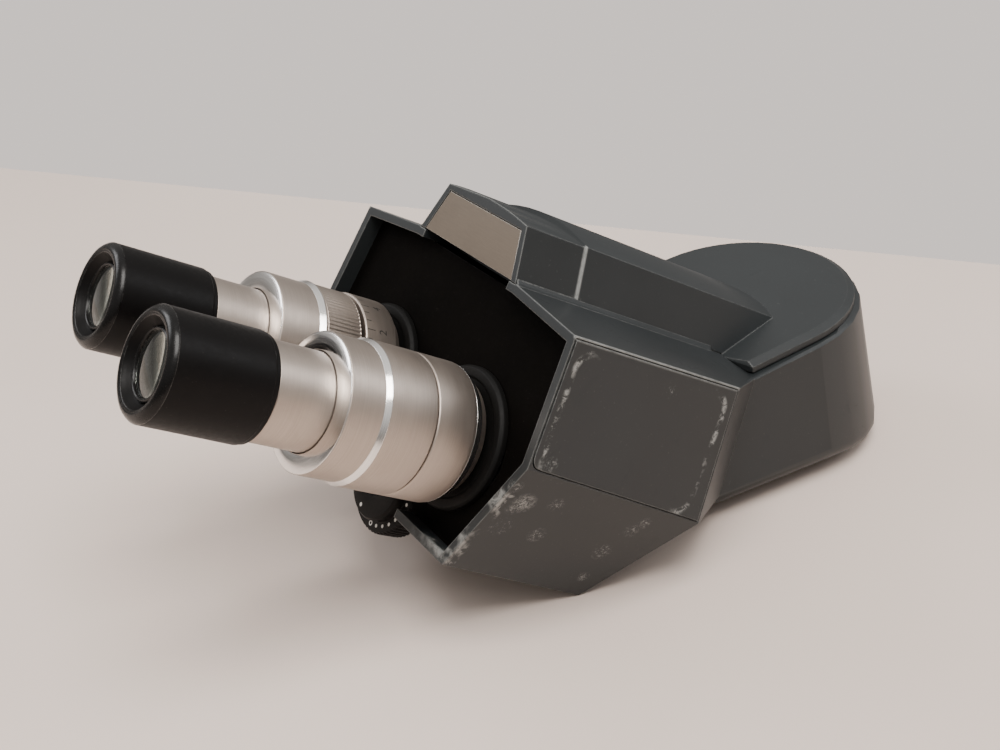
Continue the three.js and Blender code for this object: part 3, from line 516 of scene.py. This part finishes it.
WELD, SLIVER = 2e-6, 1e-6  # metres
LARGE_FACE = 7e-4  # square metres
SAME_WAY = 0.99998  # cosine between the normals of faces that lie in one plane


def refined(node, look, degrees=17):
    """A copy of a CAD node with shared corners: curved faces shade smoothly, large flat ones stay flat."""
    made = bmesh.new()
    made.from_mesh(frame["nodes"][node].data)
    bmesh.ops.remove_doubles(made, verts=made.verts, dist=WELD)
    bmesh.ops.dissolve_degenerate(made, edges=made.edges, dist=SLIVER)
    mesh = mesh_of(made, node + "_skin")
    smooth(mesh, degrees)
    large = [face.normal.copy() for face in mesh.polygons if face.area > LARGE_FACE]
    for face in mesh.polygons:
        if any(face.normal.dot(normal) > SAME_WAY for normal in large):
            face.use_smooth = False
    return piece(node + "_skin", mesh, look, body_of[node], (node,))


ON_AXIS = 0.01
SHORTEST_ARC = 0.02


def rounded(profile, radius):
    """The profile with each sharp corner drawn as a small arc."""
    out = []
    count = len(profile)
    for i, (r, a) in enumerate(profile):
        before = Vector(profile[i - 1])
        here = Vector((r, a))
        after = Vector(profile[(i + 1) % count])
        back, on = before - here, after - here
        reach = min(radius, back.length * 0.4, on.length * 0.4)
        if r < ON_AXIS or reach < SHORTEST_ARC:
            out.append((r, a))
            continue
        start, end = here + back.normalized() * reach, here + on.normalized() * reach
        for t in (0.0, 0.33, 0.67, 1.0):
            p = start.lerp(here, t).lerp(here.lerp(end, t), t)
            out.append((p.x, p.y))
    return out


def around(x, u, radius, turn, a):
    """The place at a radius and an angle round the axis through (x, u)."""
    return at(x + radius * math.cos(turn), u + radius * math.sin(turn), a)


def turns(count):
    return [2 * math.pi * k / count for k in range(count)]


def lathe(name, profile, x, u, look, node, sides=160, soften=0.25, degrees=35, ridge=None, replace=True):
    """A body of revolution round the tube axis through (x, u), from [radius, a] points in mm.
    ridge(r, a, turn) gives the radius at that angle, for knurls and flutes."""
    points = rounded(profile, soften) if soften else profile
    made = bmesh.new()
    rings = []
    for r, a in points:
        if r < ON_AXIS:
            rings.append([made.verts.new(at(x, u, a))])
            continue
        radii = [(ridge(r, a, turn) if ridge else r, turn) for turn in turns(sides)]
        rings.append([made.verts.new(around(x, u, radius, turn, a)) for radius, turn in radii])
    for first, second in zip(rings, rings[1:] + rings[:1]):
        if len(first) == 1 and len(second) == 1:
            continue
        for k in range(sides):
            n = (k + 1) % sides
            if len(first) == 1:
                made.faces.new((first[0], second[n], second[k]))
            elif len(second) == 1:
                made.faces.new((first[k], first[n], second[0]))
            else:
                made.faces.new((first[k], first[n], second[n], second[k]))
    bmesh.ops.recalc_face_normals(made, faces=made.faces)
    mesh = mesh_of(made, name)
    smooth(mesh, degrees)
    return piece(name, mesh, look, body_of[node], (node,) if replace else ())


def on_scale(name, faces):
    """Flat [across, along] outlines in mm printed on the left scale ring, each centred at an angle."""
    made = bmesh.new()
    for turn, outline in faces:
        made.faces.new([
            made.verts.new(around(-TUBE_X, 0, BAND + PROUD, turn + across / BAND, SCALE_A + along))
            for across, along in outline
        ])
    piece(name, mesh_of(made, name), "black_ink", body_of["left_scale_ring"])


# ---------- the painted castings ----------
refined("housing", "housing")
refined("top_cover", "cover")
for side in ("right", "left"):
    refined(f"side_panel_{side}", "panel", 25)
refined("nameplate", "plate", 25)

# The paint-filled hollow between the hump and the shoulders.
for sign, label in ((1, "right"), (-1, "left")):
    low, high = HUMP_FOOT + SHOULDER_WAY * FILLET, HUMP_FOOT + HUMP_WAY * FILLET
    section = [low - Vector((0, 0.05))]
    for t in (0.2, 0.4, 0.6, 0.8):
        section.append(low.lerp(HUMP_FOOT, t).lerp(HUMP_FOOT.lerp(high, t), t))
    section += [high - Vector((0.05, 0)), HUMP_FOOT - Vector((1.0, 0.6))]
    bead = bmesh.new()
    ends = []
    for a in (-1.7, CREASE_A, -60.0, -90.0):
        ends.append([bead.verts.new(at(sign * p.x, p.y, a)) for p in section])
    for first, second in zip(ends, ends[1:]):
        for k in range(len(section)):
            n = (k + 1) % len(section)
            bead.faces.new((first[k], first[n], second[n], second[k]))
    bead.faces.new(ends[0])
    bead.faces.new(ends[-1][::-1])
    bmesh.ops.recalc_face_normals(bead, faces=bead.faces)
    bead_mesh = mesh_of(bead, f"hump_fillet_{label}")
    smooth(bead_mesh, 40)
    piece(f"hump_fillet_{label}", bead_mesh, "housing", "head")

# ---------- eyetubes ----------
def sleeve(side, node, x, rear, band, front, band_width):
    """Straight sleeve with one polished taper, a polished front face and its seat on the core."""
    lathe(f"{side}_sleeve_turned", [
        (CORE, rear), (BAND - 0.35, rear), (BAND, rear + 0.35), (BAND, band),
        (SLEEVE, band + band_width * 0.6), (SLEEVE, front - 1.1), (SLEEVE - 0.15, front - 0.9),
        (15.3, front + CHAMFER_OUT), (15.3, front - 4), (CORE, front - 4),
    ], x, 0, "silver", node)
    edge, seat = (CHAMFER_EDGE, front - CHAMFER_BACK), (CHAMFER_SEAT, front + CHAMFER_OUT)
    chamfer(f"{side}_front_chamfer", node, x, [edge, seat])


def chamfer(name, node, x, points):
    """A thin bright skin over a taper that was polished after the satin finish."""
    skin = [(r + PROUD, a + 0.01) for r, a in points]
    under = [(r - 0.25, a - 0.1) for r, a in points[::-1]]
    lathe(name, skin + under, x, 0, "polish", node, soften=0, replace=False)


def socket(side, front, x):
    rear, out = front - SOCKET_IN, front + SOCKET_OUT
    lathe(f"{side}_socket_turned", [
        (SOCKET_BORE, rear), (SOCKET, rear), (SOCKET, out - 0.3), (SOCKET - 0.4, out), (SOCKET_BORE, out),
    ], x, 0, "silver", f"{side}_eyepiece_socket")


def eyepiece(side, front, x):
    cap = f"{side}_eyepiece_cap"
    seat = front + CAP_SEAT
    rim = seat + CAP_LENGTH
    nose = rim + CAP_NOSE
    lathe(f"{side}_cap_turned", [
        (11.85, seat), (15.7, seat), (16.1, seat + 0.3), (16.15, seat + 1.5), (CAP, seat + 1.9),
        (CAP, rim - 0.6), (16.4, rim - 0.2), (16.0, rim + 0.5), (15.4, rim + 1.2), (14.6, nose - 0.15),
        (13.7, nose), (12.9, nose - 0.4), (12.2, nose - 1.4), (11.2, nose - 2.6), (10.5, nose - 3.2),
        (10.5, rim - 6), (11.5, rim - 6), (11.5, rim - 9), (11.85, rim - 9),
    ], x, 0, "black", cap, soften=0.12)
    lathe(f"{side}_cap_rim", [
        (16.44, rim - 0.42), (16.53, rim - 0.42), (16.42, rim - 0.05), (16.05, rim + 0.55),
        (15.45, rim + 1.24), (14.62, nose - 0.1), (13.7, nose + 0.04), (12.86, nose - 0.36),
        (12.9, nose - 0.5), (13.7, nose - 0.1), (15.2, rim + 1.0),
    ], x, 0, "gloss", cap, soften=0, replace=False)
    rise = [i * math.pi / 24 for i in range(13)]
    arc = [(LENS * math.sin(t), nose - 1.9 - LENS_CROWN * (1 - math.cos(t))) for t in rise]
    lens = [(0, rim - 5), (LENS, rim - 5)] + arc[::-1]
    lathe(f"{side}_lens_ground", lens, x, 0, "glass", f"{side}_eye_lens", sides=96, soften=0, degrees=40)
    lathe(f"{side}_lens_ring", [
        (9.2, nose - 3.0), (10.45, nose - 3.0), (10.45, nose - 2.4), (9.9, nose - 2.0), (9.5, nose - 2.2),
    ], x, 0, "gloss", cap, soften=0.05, replace=False)


lathe("right_ring_turned", [
    (NECK, RING_REAR), (END - 2, RING_REAR), (END - 0.3, 0.9), (END, 1.4), (BAND - 0.2, 4.6), (BAND, 5.4),
    (BAND, 18.55), (BAND - 0.35, 18.9), (CORE, 18.9), (CORE, 0.5), (NECK, 0.5),
], TUBE_X, 0, "silver", "right_base_ring")
lathe("left_scale_turned", [
    (NECK, RING_REAR), (END - 1.2, RING_REAR), (END - 0.6, 0.6), (21.6, 1.1), (BAND, 1.8),
    (BAND, 13.45), (BAND - 0.35, 13.8), (CORE, 13.8), (CORE, 0.5), (NECK, 0.5),
], -TUBE_X, 0, "silver", "left_scale_ring")
sleeve("right", "right_tube_sleeve", TUBE_X, 19.2, RIGHT_BAND_A, RIGHT_FRONT, 3.0)
sleeve("left", "left_focus_sleeve", -TUBE_X, 28.5, LEFT_BAND_A, LEFT_FRONT, 3.4)
right_taper = [(BAND, RIGHT_BAND_A), (SLEEVE, RIGHT_BAND_A + 1.8)]
left_taper = [(BAND, LEFT_BAND_A), (SLEEVE, LEFT_BAND_A + 2.0)]
chamfer("right_band_chamfer", "right_tube_sleeve", TUBE_X, right_taper)
chamfer("left_band_chamfer", "left_focus_sleeve", -TUBE_X, left_taper)
chamfer("right_end_chamfer", "right_base_ring", TUBE_X, [(END, 1.4), (BAND - 0.2, 4.6)])
for side, front, x in (("right", RIGHT_FRONT, TUBE_X), ("left", LEFT_FRONT, -TUBE_X)):
    socket(side, front, x)
    eyepiece(side, front, x)


# Straight knurl round the dioptre ring, plain at both ends.
def straight_knurl(r, a, turn):
    if r < END or a < KNURL_FROM or a > KNURL_TO:
        return r
    return r - KNURL_DEPTH * (0.5 + 0.5 * math.cos(turn * KNURL_RIDGES))


lathe("left_knurled_ring", [
    (CORE, 15.0), (21.3, 15.0), (21.75, 15.4), (21.8, 15.7), (21.8, 27.5), (21.75, 27.9), (21.4, 28.2),
    (CORE, 28.2),
], -TUBE_X, 0, "silver", "left_dioptre_ring", sides=576, soften=0, degrees=22, ridge=straight_knurl)

# Scale on the left tube's fixed ring: strokes and numbers every few of them.
def scale_turn(step):
    return math.radians(SCALE_ZERO + step * SCALE_STEP)


strokes = []
for i in range(-12, 13):
    tall = 3.2 if i % 3 == 0 else 2.0
    strokes.append((scale_turn(i), [(-0.14, 0), (0.14, 0), (0.14, -tall), (-0.14, -tall)]))
on_scale("left_scale_strokes", strokes)


def digit_outlines(text, size):
    """The filled faces of a short number, as [across, along] outlines in mm."""
    curve = bpy.data.curves.new("digit", "FONT")
    curve.body = text
    curve.size = size
    curve.align_x = "CENTER"
    curve.align_y = "CENTER"
    curve.resolution_u = 3
    holder = linked("digit", curve)
    bpy.context.view_layer.update()
    flat = holder.to_mesh()
    faces = [[tuple(flat.vertices[v].co[:2]) for v in f.vertices] for f in flat.polygons]
    holder.to_mesh_clear()
    bpy.data.objects.remove(holder)
    bpy.data.curves.remove(curve)
    return faces


numbers = []
for i, label in ((-6, "4"), (-3, "2"), (0, "0"), (3, "2"), (6, "4")):
    for face in digit_outlines(label, 4.2):
        numbers.append((scale_turn(i), [(across, along - 6.4) for across, along in face]))
on_scale("left_scale_numbers", numbers)

# ---------- collars and the dial ----------
for side, x in (("right", TUBE_X), ("left", -TUBE_X)):
    lathe(f"{side}_collar_turned", [
        (NECK, -6.7), (COLLAR, -6.7), (COLLAR, -4.9), (COLLAR - 0.8, -3.8), (19.6, -3.8), (19.2, -4.3),
        (NECK, -4.3),
    ], x, 0, "collar", f"{side}_tube_collar")


def fluted(r, a, turn):
    if r < 17.5 or a > -8.6:
        return r
    return r - FLUTE_DEPTH * (0.5 + 0.5 * math.cos(turn * FLUTES)) ** 2


lathe("dial_turned", [
    (2.3, -16), (DIAL - 0.4, -16), (DIAL, -15.6), (DIAL, -8.7), (17.6, DIAL_RIM_A), (14.3, DIAL_RIM_A),
    (14.2, -7.6), (14.2, -5.0), (13.4, DIAL_A), (6.0, DIAL_A), (6.0, -5.5), (2.3, -5.5),
], 0, DIAL_U, "black", "ipd_dial", sides=480, soften=0.12, degrees=30, ridge=fluted)


DOT_SIDES = 24


def dial_marks(name, spots, a):
    """White dots on the dial, each (radius from the centre, degrees, size, hole); a hole makes a ring."""
    made = bmesh.new()
    for radius, degrees, size, hole in spots:
        x = radius * math.cos(math.radians(degrees))
        u = DIAL_U + radius * math.sin(math.radians(degrees))
        rim = [made.verts.new(around(x, u, size, turn, a + PROUD)) for turn in turns(DOT_SIDES)]
        if not hole:
            made.faces.new(rim)
            continue
        inner = [made.verts.new(around(x, u, hole, turn, a + PROUD)) for turn in turns(DOT_SIDES)]
        for k in range(DOT_SIDES):
            n = (k + 1) % DOT_SIDES
            made.faces.new((rim[k], rim[n], inner[n], inner[k]))
    piece(name, mesh_of(made, name), "white", "dial")


dots = [(15.6, -72 + 13.2 * k, 0.62, 0) for k in range(14)]
dial_marks("dial_dots", [(15.6, -85, 0.95, 0.5)] + dots, DIAL_RIM_A)
dial_marks("dial_index_dot", [(11.4, -102, 0.7, 0)], DIAL_A)

# ---------- stage, light and camera ----------
far = [Vector(point) for point in FAR_EDGE]
run = (far[1] - far[0]).normalized()
nearer = Vector((run.y, -run.x, 0)) * TABLE_DEPTH
corner = [far[0] - run * TABLE_RUN, far[1] + run * TABLE_RUN]
floor_mesh = bpy.data.meshes.new("table")
floor_mesh.from_pydata([corner[0], corner[1], corner[1] + nearer, corner[0] + nearer], [], [(0, 1, 2, 3)])
floor = linked("table", floor_mesh)
table_look = Look("pale_table")
speckle = table_look.noise(90.0, 4.0)
wash = table_look.noise(3.0, 2.0)
tone = table_look.mix(table_look.ramp(wash, 0.3, 0.7), (0.665, 0.553, 0.488, 1), (0.705, 0.594, 0.526, 1))
table_look.set(Base_Color=tone, Roughness=table_look.ramp(speckle, 0.3, 0.7, 0.55, 0.65))
floor.data.materials.append(table_look.mat)
floor.location.z = -TABLE_DROP

# The room's brightness by height, from straight down (0) to straight up (1). The wall is below 0.5.
room_shades = (
    (0.44, (0.97, 0.885, 0.83, 1)),
    (0.52, (0.20, 0.185, 0.17, 1)),
    (0.75, (0.66, 0.64, 0.62, 1)),
    (1.0, (0.95, 0.93, 0.90, 1)),
)
world = bpy.data.worlds.new("room")
bpy.context.scene.world = world
world.use_nodes = True
nodes, links = world.node_tree.nodes, world.node_tree.links
sky = nodes.new("ShaderNodeTexCoord")
split = nodes.new("ShaderNodeSeparateXYZ")
height = nodes.new("ShaderNodeMapRange")
shade = nodes.new("ShaderNodeValToRGB")
stops = shade.color_ramp.elements
for stop, (place_on, colour) in zip(stops, room_shades):
    stop.position = place_on
    stop.color = colour
for place_on, colour in room_shades[2:]:
    stops.new(place_on).color = colour
height.inputs["From Min"].default_value = -1.0
links.new(sky.outputs["Generated"], split.inputs[0])
links.new(split.outputs["Z"], height.inputs["Value"])
links.new(height.outputs[0], shade.inputs[0])
links.new(shade.outputs[0], nodes["Background"].inputs[0])


def area(name, where, aim, size, power, colour):
    light = bpy.data.lights.new(name, "AREA")
    light.size = size
    light.energy = power
    light.color = colour
    obj = linked(name, light)
    obj.location = where
    obj.rotation_euler = (Vector(aim) - Vector(where)).to_track_quat("-Z", "Y").to_euler()


area("overhead", (0.45, -0.15, 1.3), (0, 0, 0.05), 0.75, 24, (1.0, 0.965, 0.93))
area("side", (-0.9, -0.7, 0.9), (0, 0, 0.05), 0.6, 7, (0.98, 0.98, 1.0))
area("rear", (0.5, 1.1, 0.8), (0, 0.1, 0.05), 0.5, 4, (0.97, 0.98, 1.0))

place = at(*CAMERA_PLACE)
right, down, ahead = (TUBES.to_3x3() @ Vector(way) for way in (CAMERA_RIGHT, CAMERA_DOWN, CAMERA_AHEAD))
camera = linked("camera", bpy.data.cameras.new("camera"))
camera.matrix_world = Matrix((
    (right.x, -down.x, -ahead.x, place.x),
    (right.y, -down.y, -ahead.y, place.y),
    (right.z, -down.z, -ahead.z, place.z),
    (0, 0, 0, 1),
))
camera.data.sensor_width = SENSOR_MM
camera.data.lens = LENS_MM
camera.data.clip_start = 0.01
bpy.context.scene.camera = camera
